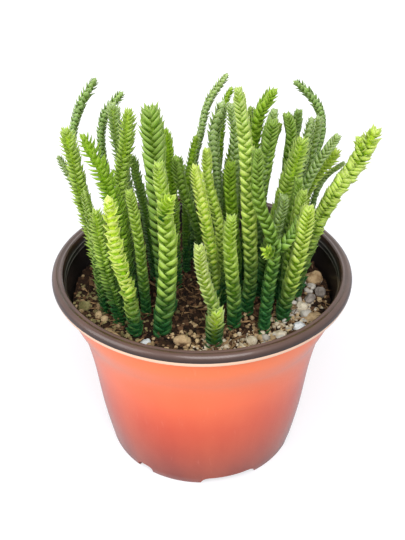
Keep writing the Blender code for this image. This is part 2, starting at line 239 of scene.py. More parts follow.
class Wire:
    """A shader socket that can stand in a sum; each operation adds its Math node."""

    def __init__(self, finish, socket):
        self.finish = finish
        self.socket = socket

    def math(self, operation, *values):
        settings = {"operation": operation}
        return self.finish.node("ShaderNodeMath", settings, dict(enumerate(values)))

    def __add__(self, other):
        return self.math("ADD", self, other)

    def __sub__(self, other):
        return self.math("SUBTRACT", self, other)

    def __rsub__(self, other):
        return self.math("SUBTRACT", other, self)

    def __mul__(self, other):
        return self.math("MULTIPLY", self, other)

    __radd__ = __add__
    __rmul__ = __mul__

    def between(self, low, high):
        """0 below low, 1 above high and an even rise in between; high may be the lower."""
        sockets = {0: self, 1: low, 2: high}
        return self.finish.node("ShaderNodeMapRange", {"clamp": True}, sockets)


class Finish:
    """A material being mixed: a Principled shader and the nodes that feed it."""

    def __init__(self, name, constants):
        self.material = bpy.data.materials.new(name)
        self.material.use_nodes = True
        self.tree = self.material.node_tree
        self.shader = self.tree.nodes["Principled BSDF"]
        for socket, value in constants.items():
            self.shader.inputs[socket].default_value = value

    def node(self, kind, settings=None, sockets=None, output=0):
        """Adds a node, sets it, then fills its sockets; gives one of its outputs."""
        made = self.tree.nodes.new(kind)
        for name, value in (settings or {}).items():
            setattr(made, name, value)
        for name, value in (sockets or {}).items():
            if isinstance(value, Wire):
                self.tree.links.new(value.socket, made.inputs[name])
            else:
                made.inputs[name].default_value = value
        return Wire(self, made.outputs[output])

    def mix(self, share, first, second, blend="MIX"):
        """The first colour with this share of the second."""
        settings = {"data_type": "RGBA", "blend_type": blend, "clamp_factor": True}
        return self.node("ShaderNodeMix", settings, {0: share, 6: first, 7: second}, 2)

    def place(self):
        """Where a point of the surface is, in m."""
        return self.node("ShaderNodeTexCoord", output="Object")

    def axis(self, name):
        return self.node("ShaderNodeSeparateXYZ", {}, {"Vector": self.place()}, name)

    def noise(self, scale, detail=2.0, stretch=(1, 1, 1)):
        """Soft noise with this many waves to the metre, 0 to 1."""
        spread = self.node("ShaderNodeMapping", {}, {"Vector": self.place(), "Scale": stretch})
        sockets = {"Vector": spread, "Scale": scale, "Detail": detail}
        return self.node("ShaderNodeTexNoise", {}, sockets)

    def mark(self, name, output="Color"):
        """An attribute that the piece's mesh carries."""
        return self.node("ShaderNodeAttribute", {"attribute_name": name}, {}, output)

    def feed(self, socket, wire):
        self.tree.links.new(wire.socket, self.shader.inputs[socket])

    def bump(self, height, depth, strength=1.0):
        sockets = {"Height": height, "Distance": depth, "Strength": strength}
        self.feed("Normal", self.node("ShaderNodeBump", {}, sockets, "Normal"))


# ---------------------------------------------------------------- finishes


def leaf_finish(name, grown, young, edge, depth):
    """Waxy scale leaves, with painted shade at their roots and in the creases between them, and paler
    along the rims and towards the tips, partly their own pale margins and partly a painted highlight.

    Depth is how light the painted shade in the creases between grown leaves stays. The mark "leaf" holds
    four shares: the way from a leaf's root to its point, its own tone, its youth (0 at the soil, 1 at
    the growing point) and how near its rim is.
    """
    # Painted shade: the colours of the creases between grown leaves and between young ones.
    crease_shade = (grown[0] * 0.75 * depth, grown[1] * depth, grown[2] * 0.25 * depth, 1.0)
    young_crease_shade = (young[0] * 0.85, young[1] * 0.88, young[2] * 0.4, 1.0)
    constants = {
        "Subsurface Weight": 0.25,
        "Subsurface Radius": (0.8, 1.0, 0.25),
        "Subsurface Scale": 1.5 * MM,
        "Specular IOR Level": 0.35,
    }
    finish = Finish(name, constants)
    way = finish.node("ShaderNodeSeparateColor", {}, {"Color": finish.mark("leaf")}, "Red")
    shares = way.socket.node.outputs
    tone = Wire(finish, shares["Green"])
    youth = Wire(finish, shares["Blue"])
    margin = finish.mark("leaf", "Alpha")
    patches = finish.noise(420, 2.0)
    stage = youth + (patches - 0.5) * 0.25 + (tone - 0.5) * 0.14
    # Low on the stem the leaves take the dark green of old leaves, which is partly painted shade.
    colour = finish.mix(stage.between(0.14, 0.55), OLD_AND_SHADED_GREEN, grown)
    colour = finish.mix(stage.between(0.60, 1.0), colour, young)
    colour = finish.mix(stage.between(1.08, 1.2), colour, TIP_GREEN)
    # Painted shade over each leaf's root, where the next pair covers it: the dark old green low down,
    # the creases' colour higher up.
    clasp_shade = way.between(0.50, 0.10) * 0.92
    inside = finish.mix(stage.between(0.1, 0.6), OLD_AND_SHADED_GREEN, crease_shade)
    inside = finish.mix(stage.between(0.6, 0.95), inside, young_crease_shade)
    colour = finish.mix(clasp_shade, colour, inside)
    # Paler rims and upper, outer part of each leaf: partly the leaves' own pale margins, partly a
    # painted highlight.
    rim = margin * 0.3 + way.between(0.55, 1.0) * 0.6
    colour = finish.mix(rim, colour, finish.mix(stage.between(0.1, 0.75), OLD_AND_SHADED_EDGE, edge))
    light = 0.78 + tone * 0.26
    channels = {"Red": light, "Green": light * 0.985, "Blue": light}
    shade = finish.node("ShaderNodeCombineColor", {}, channels)
    finish.feed("Base Color", finish.mix(1.0, colour, shade, "MULTIPLY"))
    finish.feed("Roughness", 0.36 + finish.noise(900, 2.0) * 0.2)
    finish.bump(finish.noise(2600, 3.0), 0.05 * MM, 0.6)
    return finish.material


def pot_finish():
    """Thin two-layer plastic: terracotta outside, dark brown inside and over the rolled rim."""
    finish = Finish("pot_plastic", {"Coat Roughness": 0.14})
    height = finish.axis("Z")
    lining = finish.mark("lining", "Fac")
    grain = finish.noise(55, 4.0, (1, 1, 0.4))
    # Painted light high on the wall, then painted shade towards the foot.
    clay = finish.mix(height.between(*CLAY_PAINTED_LIGHT), srgb(236, 80, 37), srgb(255, 122, 60))
    clay = finish.mix(height.between(*CLAY_PAINTED_SHADE), clay, srgb(132, 44, 23))
    clay = finish.mix(grain.between(0.35, 0.75) * 0.22, clay, srgb(255, 136, 86))
    scuffs = finish.noise(700, 3.0, (1, 1, 0.15)).between(0.66, 0.80)
    clay = finish.mix(scuffs * 0.10, clay, srgb(250, 196, 172))
    brown = finish.mix(grain.between(0.3, 0.8), srgb(68, 40, 29), srgb(96, 63, 50))
    deep = height.between(*LINING_DARKER)
    brown = finish.mix(deep, brown, srgb(22, 17, 17))
    # Painted highlights: a pale line along the crest of each ridge inside the rim.
    for crest in RIDGE_HIGHLIGHTS:
        below = height.between(crest - RIDGE_HIGHLIGHT_HALF, crest)
        above = height.between(crest + RIDGE_HIGHLIGHT_HALF, crest)
        brown = finish.mix(below * above * 0.6, brown, srgb(150, 142, 138))
    # Painted highlight: a pale band along the lower edge of the rolled lip.
    lip_highlight = finish.mark("lip_highlight", "Fac")
    brown = finish.mix(lip_highlight, brown, srgb(246, 206, 176))
    finish.feed("Base Color", finish.mix(lining, clay, brown))
    finish.feed("Roughness", 0.34 + finish.noise(1400, 3.0) * 0.16 + scuffs * 0.12)
    facing = finish.node("ShaderNodeLayerWeight", {}, {"Blend": 0.5}, "Facing")
    finish.feed("Coat Weight", 0.45 + facing * 0.50 + lining * 0.15 - deep * lining * 0.5)
    finish.bump(finish.noise(1800, 3.0) + grain * 0.6, 0.04 * MM, 0.5)
    return finish.material


def peat_finish():
    """Dark damp peat in clods, with paler flecks."""
    finish = Finish("peat", {"Roughness": 0.95, "Specular IOR Level": 0.2})
    clods = finish.noise(420, 5.0)
    colour = finish.mix(clods.between(0.3, 0.7), srgb(18, 12, 9), srgb(62, 41, 28))
    flecks = finish.noise(1900, 2.0).between(0.66, 0.72)
    colour = finish.mix(flecks * 0.7, colour, srgb(140, 108, 78))
    finish.feed("Base Color", colour)
    finish.bump(clods + finish.noise(2400, 3.0) * 0.4, 0.6 * MM)
    return finish.material


def grain_finish(name, dark, light, roughness):
    """Loose grains: each one takes its own place between the two colours."""
    finish = Finish(name, {"Roughness": roughness, "Specular IOR Level": 0.3})
    tone = finish.mark("tone", "Fac")
    speckle = finish.noise(1500, 4.0)
    finish.feed("Base Color", finish.mix(tone * 0.7 + speckle * 0.3, dark, light))
    finish.bump(speckle, 0.12 * MM)
    return finish.material


def stone_finish(name, dark, light):
    """A worn stone: patches, fine specks and a rough broken skin."""
    finish = Finish(name, {"Roughness": 0.85, "Specular IOR Level": 0.3})
    patches = finish.noise(330, 4.0)
    specks = finish.noise(2600, 3.0)
    colour = finish.mix(patches.between(0.32, 0.68), dark, light)
    pits = specks.between(0.42, 0.32)
    colour = finish.mix(pits * 0.45, colour, finish.mix(0.5, dark, srgb(40, 30, 22)))
    finish.feed("Base Color", colour)
    finish.bump(patches * 0.7 + specks * 0.5, 0.25 * MM)
    return finish.material


def grain_finishes():
    """A finish for each kind of loose grain, between its darkest and its lightest ones."""
    kinds = {
        "tan_grit": (srgb(120, 90, 60), srgb(218, 190, 146), 0.85),
        "grey_grit": (srgb(150, 142, 132), srgb(226, 220, 210), 0.85),
        "olive_grit": (srgb(80, 70, 42), srgb(176, 162, 112), 0.85),
        "pale_grit": (srgb(170, 150, 120), srgb(240, 228, 204), 0.85),
        "peat_crumb": (srgb(15, 10, 7), srgb(120, 86, 60), 0.95),
        "dry_fibre": (srgb(70, 46, 28), srgb(176, 140, 98), 0.9),
    }
    return {name: grain_finish(name, *look) for name, look in kinds.items()}


def stone_finishes():
    """A finish for each kind of stone, between its dark and its light patches."""
    kinds = {
        "tan": (srgb(146, 116, 82), srgb(206, 178, 138)),
        "grey": (srgb(120, 110, 104), srgb(176, 166, 158)),
        "pale": (srgb(184, 168, 142), srgb(236, 224, 202)),
        "white": (srgb(200, 204, 212), srgb(246, 246, 248)),
        "olive": (srgb(104, 98, 58), srgb(170, 160, 110)),
    }
    return {kind: stone_finish(kind + "_stone", *pair) for kind, pair in kinds.items()}


# ---------------------------------------------------------------- modelling helpers


def deselect():
    """An operator acts on all that is selected, so each shape starts with nothing selected."""
    bpy.ops.object.select_all(action="DESELECT")


def working():
    """The object that the last operator made or left active."""
    return bpy.context.view_layer.objects.active


def edit():
    bpy.ops.object.mode_set(mode="EDIT")


def leave():
    bpy.ops.object.mode_set(mode="OBJECT")


def only(thing):
    deselect()
    thing.select_set(True)
    bpy.context.view_layer.objects.active = thing


def settle(thing, name):
    """Names a finished shape and puts its place into its mesh."""
    only(thing)
    bpy.ops.object.transform_apply(location=True, rotation=True, scale=True)
    thing.name = name
    thing.data.name = name
    return thing


def apply_all(thing):
    only(thing)
    for modifier in list(thing.modifiers):
        bpy.ops.object.modifier_apply(modifier=modifier.name)


def close_up(thing):
    """Merges doubles and turns every face outwards."""
    only(thing)
    edit()
    bpy.ops.mesh.select_all(action="SELECT")
    bpy.ops.mesh.remove_doubles(threshold=0.002 * MM)
    bpy.ops.mesh.normals_make_consistent(inside=False)
    leave()


def smooth(thing, degrees):
    only(thing)
    bpy.ops.object.shade_smooth_by_angle(angle=math.radians(degrees))


def dress(piece, surface, slot_name, *nodes):
    """Gives a finished piece its material and its place in the part."""
    piece.data.materials.clear()
    piece.data.materials.append(surface)
    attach(piece, "root")
    if nodes:
        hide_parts(*nodes)
    return piece


def copy_of(shape, placing):
    """A copy with its own mesh, moved into place."""
    made = bpy.data.objects.new(shape.name, shape.data.copy())
    made.data.transform(placing)
    bpy.context.scene.collection.objects.link(made)
    return made


def joined(name, parts):
    """One object out of many; the first one's mesh takes in the others."""
    deselect()
    for part in parts:
        part.select_set(True)
    bpy.context.view_layer.objects.active = parts[0]
    bpy.ops.object.join()
    return settle(working(), name)


def discard(*things):
    """Removes shapes that were only there to be copied or to cut."""
    for thing in things:
        mesh = thing.data
        bpy.data.objects.remove(thing, do_unlink=True)
        bpy.data.meshes.remove(mesh)


def turned(profile):
    """Spins (radius, height) points in mm round the Z axis into one closed body."""
    deselect()
    bpy.ops.mesh.primitive_plane_add(size=MM, location=(0, 0, 0))
    edit()
    bpy.ops.mesh.merge(type="CENTER")
    points = [Vector((radius * MM, 0, height * MM)) for radius, height in profile]
    bpy.ops.transform.translate(value=points[0])
    for start, end in zip(points, points[1:]):
        bpy.ops.mesh.extrude_region_move(TRANSFORM_OT_translate={"value": end - start})
    bpy.ops.mesh.select_all(action="SELECT")
    bpy.ops.mesh.spin(steps=POT_STEPS, angle=math.tau, center=(0, 0, 0), axis=(0, 0, 1))
    leave()
    body = working()
    close_up(body)
    return body


def outward(angle):
    """The level direction at this angle from the front, positive towards +X."""
    return Vector((math.sin(angle), -math.cos(angle), 0.0))


# ---------------------------------------------------------------- pot


def inner_wall():
    """The pot's inside as (radius, height) in mm, from the rim down to the floor."""
    foot = (OUTER_WALL[1][0] - WALL + 0.5, FLOOR_UNDERSIDE + WALL)
    return [(radius - WALL, height) for radius, height in reversed(OUTER_WALL[2:])] + [foot]


def rounded(points, parts=4):
    """More points along a smooth curve through these ones."""
    padded = [points[0], *points, points[-1]]
    curve = []
    for before, start, end, after in zip(padded, padded[1:], padded[2:], padded[3:]):
        for part in range(parts):
            t = part / parts
            shares = (
                -t + 2 * t**2 - t**3,
                2 - 5 * t**2 + 3 * t**3,
                t + 4 * t**2 - 3 * t**3,
                t**3 - t**2,
            )
            corners = list(zip(shares, (before, start, end, after)))
            curve.append([sum(share * corner[axis] for share, corner in corners) / 2 for axis in (0, 1)])
    return curve + [points[-1]]


def pot_profile(rim_radius, rim_top):
    """The pot's section, from the middle of its underside round over the rim to its floor."""
    floor_top = FLOOR_UNDERSIDE + WALL
    foot = OUTER_WALL[0][0] - FOOT_WIDTH
    profile = [(0, 0), (PAD_RADIUS, 0), (PAD_RADIUS + PAD_SLOPE, FLOOR_UNDERSIDE)]
    profile += [(foot - FOOT_SLOPE, FLOOR_UNDERSIDE), (foot, 0)]
    profile += [OUTER_WALL[0]] + rounded(OUTER_WALL[1:])
    profile += [(rim_radius - inwards, rim_top - down) for inwards, down in RIM_SECTION]
    profile += rounded(inner_wall())
    profile += [(PAD_RADIUS + PAD_SLOPE - 0.3, floor_top), (PAD_RADIUS - 0.6, WALL), (0, WALL)]
    return profile


def notch_cutter(angle, width):
    """A bar through the foot, with its two upper edges rounded off."""
    middle = outward(angle) * NOTCH_RADIUS * MM
    deselect()
    bpy.ops.mesh.primitive_cube_add(size=1.0, location=(0, 0, 0))
    bar = working()
    edit()
    bpy.ops.transform.resize(value=(width * MM, NOTCH_DEPTH * MM, 2 * NOTCH_HEIGHT * MM))
    bpy.ops.mesh.select_all(action="DESELECT")
    leave()
    for side in bar.data.edges:
        ends = [bar.data.vertices[index].co for index in side.vertices]
        side.select = all(end.z > 0 for end in ends) and abs(ends[0].x - ends[1].x) < MM
    edit()
    bpy.ops.mesh.bevel(offset=min(NOTCH_ROUND, width * 0.3) * MM, segments=4)
    leave()
    bar.matrix_world = Matrix.Translation(middle) @ Matrix.Rotation(angle, 4, "Z")
    return settle(bar, "notch")


def drain_cutter(angle):
    """A post through the floor."""
    middle = outward(angle) * DRAIN_CIRCLE * MM
    middle.z = (FLOOR_UNDERSIDE + WALL / 2) * MM
    deselect()
    bpy.ops.mesh.primitive_cylinder_add(
        vertices=24, radius=DRAIN_RADIUS * MM, depth=4 * MM, location=middle
    )
    return settle(working(), "drain")


def build_pot(surface):
    """The turned pot, cut for its foot notches and drain holes."""
    low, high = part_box("pot")
    body = turned(pot_profile((high.x - low.x) / 2 / MM, high.z / MM))
    cutters = []
    for index in range(NOTCHES):
        angle = math.radians(NOTCH_START + index * 360 / NOTCHES)
        width = WIDE_NOTCH if index in WIDE_NOTCHES else NARROW_NOTCH
        cutters += [notch_cutter(angle, width), drain_cutter(angle)]
    tool = joined("pot_cutters", cutters)
    cut = body.modifiers.new("cut", "BOOLEAN")
    cut.object = tool
    cut.operation = "DIFFERENCE"
    cut.solver = "EXACT"
    apply_all(body)
    discard(tool)
    mark_lining(body, high.z)
    smooth(settle(body, "pot_shell"), 30)
    dress(body, surface, "pot", "pot")


def mark_lining(body, rim_top):
    """Marks the faces of the brown inner layer, and the pale band below the rolled lip, a painted
    highlight.
    """
    lining = body.data.attributes.new("lining", "FLOAT", "FACE")
    lip_highlight = body.data.attributes.new("lip_highlight", "FLOAT", "FACE")
    lip_low = rim_top - RIM_SECTION[0][1] * MM
    for index, face in enumerate(body.data.polygons):
        radial = Vector((face.center.x, face.center.y, 0)).normalized()
        inside = face.center.z > FLOOR_UNDERSIDE * MM and face.normal.dot(radial) < -0.05
        floor = face.center.z > (FLOOR_UNDERSIDE + 0.5 * WALL) * MM and face.normal.z > 0.9
        lip = face.center.z > lip_low
        # The outside faces of the painted highlight band along the lip's lower edge.
        edge = lip and not inside and face.center.z < lip_low + LIP_HIGHLIGHT_HEIGHT * MM
        lining.data[index].value = float(inside or floor or lip)
        lip_highlight.data[index].value = float(edge)


# ---------------------------------------------------------------- soil and stones


def build_soil(surface):
    """The peat, with clods and hollows over its top."""
    floor = FLOOR_UNDERSIDE + WALL + SOIL_GAP
    inside = [(radius - SOIL_GAP, z) for radius, z in inner_wall() if z < SOIL_TOP - 1]
    profile = [(0, floor)] + [(inside[-1][0], floor)] + inside[-2::-1]
    profile += [(SOIL_EDGE, SOIL_TOP), (0, SOIL_TOP)]
    body = turned(profile)
    remesh = body.modifiers.new("even", "REMESH")
    remesh.mode = "VOXEL"
    remesh.voxel_size = SOIL_VOXEL * MM
    apply_all(body)
    top = body.vertex_groups.new(name="top")
    upper = [corner for corner in body.data.vertices if corner.co.z > (SOIL_TOP - 0.7) * MM]
    free = [corner.index for corner in upper if corner.co.xy.length < SOIL_EDGE * MM]
    top.add(free, 1.0, "ADD")
    for name, size, height in SOIL_RELIEF:
        texture = bpy.data.textures.new(name, "CLOUDS")
        texture.noise_scale = size * MM
        relief = body.modifiers.new(name, "DISPLACE")
        relief.texture = texture
        relief.texture_coords = "LOCAL"
        relief.direction = "Z"
        relief.vertex_group = "top"
        relief.strength = height * MM
    apply_all(body)
    body.vertex_groups.clear()
    smooth(settle(body, "soil_body"), 60)
    return dress(body, surface, "soil", "soil")


# Each stone's finish
STONE_LOOKS = {
    "stone_tan_large": "tan",
    "stone_grey_left": "grey",
    "stone_grey_right": "grey",
    "stone_cluster": "pale",
    "stone_tan_flat": "tan",
    "stone_blue_white": "white",
    "stone_front_pale": "pale",
    "stone_front_pair": "pale",
    "stone_front_tan": "tan",
    "stone_perlite": "white",
    "stone_olive": "olive",
    "stone_back": "tan",
}


def build_stone(node_name, surface, slot_name):
    """A stone's own plain solid, made finer and given a broken surface."""
    node = frame["nodes"][node_name]
    piece = bpy.data.objects.new(node_name + "_rough", node.data.copy())
    bpy.context.scene.collection.objects.link(piece)
    close_up(piece)
    finer = piece.modifiers.new("finer", "SUBSURF")
    finer.levels = 3
    finer.render_levels = 3
    for name, size, height in STONE_RELIEF:
        texture = bpy.data.textures.new(name, "VORONOI" if name == "facet" else "CLOUDS")
        texture.noise_scale = size * MM
        relief = piece.modifiers.new(name, "DISPLACE")
        relief.texture = texture
        relief.texture_coords = "LOCAL"
        relief.strength = height * MM
        relief.mid_level = 0.4
    apply_all(piece)
    smooth(settle(piece, node_name + "_rough"), 50)
    dress(piece, surface, slot_name, node_name)


def grain_shape(name, seed):
    """A small broken grain, about 1 mm across."""
    deselect()
    bpy.ops.mesh.primitive_ico_sphere_add(subdivisions=1, radius=0.5 * MM, location=(0, 0, 0))
    edit()
    bpy.ops.mesh.select_all(action="SELECT")
    bpy.ops.transform.vertex_random(offset=0.16 * MM, seed=seed)
    leave()
    return settle(working(), name)


def pebble_shape(name, seed):
    """A broken piece of stone with worn edges, about 1 mm across."""
    pebble = grain_shape(name, seed + 11)
    worn = pebble.modifiers.new("worn", "BEVEL")
    worn.width = 0.07 * MM
    worn.segments = 2
    apply_all(pebble)
    smooth(pebble, 25)
    return pebble


def fibre_shape(name, bend):
    """A dry fibre, 1 mm long, bent along its length and thinner at its ends."""
    deselect()
    bpy.ops.mesh.primitive_cylinder_add(
        vertices=4,
        radius=FIBRE_RADIUS * MM,
        depth=FIBRE_MIDDLE * MM,
        location=(0, 0, 0),
        rotation=(0, math.pi / 2, 0),
    )
    bpy.ops.object.transform_apply(location=True, rotation=True, scale=True)
    fibre = working()
    for direction in (1, -1):
        for face in fibre.data.polygons:
            face.select = face.normal.x * direction > 0.9
        edit()
        bpy.ops.mesh.select_mode(type="FACE")
        step = (FIBRE_END * direction * MM, bend * MM, 0.02 * MM)
        bpy.ops.mesh.extrude_region_move(TRANSFORM_OT_translate={"value": step})
        bpy.ops.transform.resize(value=(1, 0.35, 0.35))
        bpy.ops.mesh.select_all(action="DESELECT")
        leave()
    return settle(fibre, name)


def set_tone(thing, value):
    """Gives a whole grain one share between its finish's two colours."""
    tone = thing.data.attributes.new("tone", "FLOAT", "POINT")
    tone.data.foreach_set("value", [value] * len(thing.data.vertices))


def soil_height(ground, x, y):
    """How high the soil's surface is at a place, in m."""
    place = ground.ray_cast(Vector((x, y, 0.1)), Vector((0, 0, -1)))[0]
    return place.z if place else SOIL_TOP * MM


def on_soil(draw, focus, spread):
    """A random place in mm on the soil, gathered round a focus, or anywhere with no focus."""
    while True:
        if focus is None:
            x = draw.uniform(-SCATTER_REACH, SCATTER_REACH)
            y = draw.uniform(-SCATTER_REACH, SCATTER_REACH)
        else:
            x = draw.gauss(focus[0], spread)
            y = draw.gauss(focus[1], spread)
        if math.hypot(x, y) < SOIL_EDGE - SCATTER_EDGE:
            return x, y


def scatter(shapes, count, sizes, flat, places, draw, ground):
    """Copies of a few shapes, half sunk in the soil; each of the places is a focus with its spread."""
    grains = []
    for index in range(count):
        focus, spread = places[index % len(places)]
        x, y = on_soil(draw, focus, spread)
        size = draw.uniform(*sizes) * draw.uniform(0.7, 1.15)
        height = soil_height(ground, x * MM, y * MM) + size * draw.uniform(0.05, 0.3) * MM
        turn = Matrix.Rotation(draw.uniform(0, math.tau), 4, "Z")
        tilt = Matrix.Rotation(draw.uniform(-0.6, 0.6), 4, "X")
        scale = Matrix.Diagonal((size, size * draw.uniform(0.6, 1.0), size * flat, 1.0))
        placing = Matrix.Translation((x * MM, y * MM, height)) @ turn @ tilt @ scale
        grain = copy_of(shapes[index % len(shapes)], placing)
        set_tone(grain, draw.random())
        grains.append(grain)
    return grains


# Where loose grains gather, in mm: each place with how far they spread from it, or anywhere at all.
ANYWHERE = (None, 0)
RIGHT_FRONT = [((34, -14), 7), ((22, -31), 6), ((14, -34), 6), ((-2, -33), 9), ANYWHERE]
LEFT = [((-40, -8), 6), ((-36, -22), 7), ((-30, -28), 7), ANYWHERE]
FRONT = [((12, -35), 4), ((20, -33), 4), ((3, -36), 4), ((36, -12), 4), ((32, -20), 5)]
LEFT_FRONT = [((-39, -12), 6), ((-33, -25), 5), ((-18, -38), 5), ((20, -34), 5), ANYWHERE]
RIGHT = [((38, -8), 5), ((35, -15), 4), ((24, -32), 5), ((41, 4), 4)]
LITTER = [((-5, -6), 7), ((8, -31), 7), ((34, -14), 7), ((-36, -16), 9), ANYWHERE]

# What lies loose on the soil, in the order it is laid: its shape, how many, their least and greatest
# size in mm, their finish, their material slot and where they gather.
LOOSE = {
    "peat_crumbs": ("grain", 1700, (0.7, 2.3), "peat_crumb", "soil", [ANYWHERE]),
    "tan_grit": ("grain", 700, (0.8, 2.1), "tan_grit", "stone_tan", RIGHT_FRONT),
    "olive_grit": ("grain", 300, (0.8, 2.1), "olive_grit", "stone_olive", LEFT),
    "pale_grit": ("grain", 420, (0.8, 2.2), "pale_grit", "stone_pale", FRONT),
    "tan_pebbles": ("pebble", 46, (2.2, 4.4), "tan_grit", "stone_tan", LEFT_FRONT),
    "grey_pebbles": ("pebble", 60, (1.8, 4.0), "grey_grit", "stone_grey", RIGHT),
    "dry_fibres": ("fibre", 420, (2.0, 7.0), "dry_fibre", "soil", LITTER),
}
FLATNESS = {"grain": 0.75, "pebble": 0.75, "fibre": 1.0}


def dress_soil(body):
    """Peat crumbs, grit and pebbles in four colours, and dry fibres over the soil."""
    draw = random.Random(SEED)
    corners = [corner.co for corner in body.data.vertices]
    ground = BVHTree.FromPolygons(corners, [tuple(face.vertices) for face in body.data.polygons])
    shapes = {
        "grain": [grain_shape(f"grain_{seed}", seed) for seed in range(5)],
        "pebble": [pebble_shape(f"pebble_{seed}", seed) for seed in range(3)],
        "fibre": [fibre_shape(f"fibre_{index}", bend) for index, bend in enumerate(FIBRE_BENDS)],
    }
    finishes = grain_finishes()
    for name, (shape, count, sizes, finish_name, slot_name, places) in LOOSE.items():
        grains = scatter(shapes[shape], count, sizes, FLATNESS[shape], places, draw, ground)
        dress(joined(name, grains), finishes[finish_name], slot_name)
    for made in shapes.values():
        discard(*made)


# ---------------------------------------------------------------- leaves


def leaf_shape():
    """One scale leaf for a stem 1 m thick: keeled, hollow inside and curled up to its point.

    It grows along +Z from the origin, with its keel towards +Y. Its mark "leaf" holds its way from
    root to point and its rim; its tone and its youth are filled in for each copy.
    """
    deselect()
    bpy.ops.mesh.primitive_circle_add(vertices=len(LEAF_SECTION), radius=0.4, fill_type="NGON")
    leaf = working()
    corners = sorted(leaf.data.vertices, key=lambda corner: -math.atan2(corner.co.x, -corner.co.y))
    for corner, (across, outwards) in zip(corners, LEAF_SECTION):
        corner.co = Vector((across, outwards, 0)) * LEAF_STATIONS[0][1]
    edit()
    bpy.ops.mesh.select_all(action="SELECT")
    lean = math.radians(LEAF_SET)
    centre = Vector((0, 0, 0))
    for (start, before, _), (end, width, curl) in zip(LEAF_STATIONS, LEAF_STATIONS[1:]):
        step = Vector((0, math.sin(lean), math.cos(lean))) * (end - start) * LEAF_LENGTH
        centre += step
        bpy.ops.mesh.extrude_region_move(TRANSFORM_OT_translate={"value": step})
        bpy.ops.transform.resize(value=[width / before] * 3, center_override=centre)
        bpy.ops.transform.rotate(
            value=math.radians(-curl), orient_axis="X", center_override=centre
        )
        lean -= math.radians(curl)
    bpy.ops.mesh.merge(type="CENTER")
    leave()
    close_up(leaf)
    leaf = settle(leaf, "scale_leaf")
    marks = leaf.data.color_attributes.new("leaf", "FLOAT_COLOR", "POINT")
    widest = LEAF_SECTION[2][0]
    for corner, mark in zip(leaf.data.vertices, marks.data):
        way = max(0.0, min(1.0, corner.co.z / (LEAF_HEIGHT * LEAF_LENGTH)))
        narrower = 0.8 * max(0.0, way - LEAF_WIDEST) / (1 - LEAF_WIDEST)
        here = widest * max(0.15, 1 - narrower)
        mark.color = (way, 0.0, 0.0, min(1.0, (abs(corner.co.x) / here) ** 2))
    return leaf


def triangles_of(node):
    """A solid's faces as lists of corners."""
    corners = node.data.vertices
    return [[corners[index].co for index in face.vertices] for face in node.data.polygons]


def level_loops(triangles, height):
    """The closed loops where a level plane cuts a solid, each as its centre and its perimeter."""
    cuts = []
    for triangle in triangles:
        ends = []
        for start, end in zip(triangle, triangle[1:] + triangle[:1]):
            if (start.z - height) * (end.z - height) < 0:
                ends.append(start.lerp(end, (height - start.z) / (end.z - start.z)))
        if len(ends) == 2:
            cuts.append(ends)
    loops = []
    for cut in cuts:
        touching = [loop for loop in loops if any(near(cut, other) for other in loop)]
        merged = [cut] + [other for loop in touching for other in loop]
        loops = [loop for loop in loops if loop not in touching] + [merged]
    found = []
    for loop in loops:
        length = sum((end - start).length for start, end in loop)
        middles = ((start + end) / 2 * (end - start).length for start, end in loop)
        found.append((sum(middles, Vector()) / max(length, 1e-9), length))
    return found


def near(cut, other):
    """Whether two straight cuts share an end."""
    return any((a - b).length < 0.02 * MM for a in cut for b in other)


def stem_line(node):
    """The middle line and the diameter of a stem's plain solid, from level cuts up through it.

    Of the loops in a cut, the stem's own is the one nearest to where its line is heading. A cut
    that also runs round a side shoot is left out.
    """
    triangles = triangles_of(node)
    top = max(corner.z for triangle in triangles for corner in triangle)
    height = FIRST_CUT
    main = []
    widths = []
    while height < top - LAST_CUT:
        found = level_loops(triangles, height)
        expected = main[-1] if main else found[0][0]
        if len(main) > 1:
            expected = main[-1] * 2 - main[-2]
        found.sort(key=lambda loop: (loop[0] - expected).length)
        centre, length = found[0]
        if not main or length < FORKED * widths[-1]:
            main.append(centre)
            widths.append(length)
        height += LEVEL_STEP
    return finished_line(main, widths, triangles)


def finished_line(points, widths, triangles):
    """A line carried down below the soil's surface and on to the growing point, and its diameter."""
    middle = sorted(widths)[len(widths) // 2]
    diameter = SECTION_FULLNESS * middle / math.pi
    corners = [corner for triangle in triangles for corner in triangle]
    near_end = [corner for corner in corners if (corner - points[-1]).length < TIP_SEARCH * diameter]
    tip = max(near_end, key=lambda corner: corner.z) if near_end else points[-1]
    line = [points[0] - Vector((0, 0, ROOT_DEPTH)), points[0]]
    for before, point, after in zip(points, points[1:], points[2:]):
        line.append(before * 0.25 + point * 0.5 + after * 0.25)
    if (tip - points[-1]).length > 0.5 * MM:
        line.append(points[-1])
    return line + [tip.copy()], diameter


class Path:
    """A stem's middle line: a place, a direction and a level side at any way along it."""

    def __init__(self, points):
        self.points = points
        self.ways = [0.0]
        for start, end in zip(points, points[1:]):
            self.ways.append(self.ways[-1] + (end - start).length)
        self.length = self.ways[-1]

    def at(self, way):
        """The place this far along the line, in m."""
        for index, (low, high) in enumerate(zip(self.ways, self.ways[1:])):
            if way <= high or index == len(self.ways) - 2:
                share = (way - low) / (high - low)
                return self.points[index].lerp(self.points[index + 1], share)

    def frame(self, way, reach):
        """Columns: a side near +X, the side square to it, and the way up the stem."""
        low, high = max(0.0, way - reach), min(self.length, way + reach)
        up = (self.at(high) - self.at(low)).normalized()
        side = (Vector((1, 0, 0)) - up * up.x).normalized()
        across = up.cross(side)
        return Matrix((side, across, up)).transposed().to_4x4()


def eased(value):
    """0 to 1 with a soft start and end."""
    share = max(0.0, min(1.0, value))
    return share * share * (3 - 2 * share)


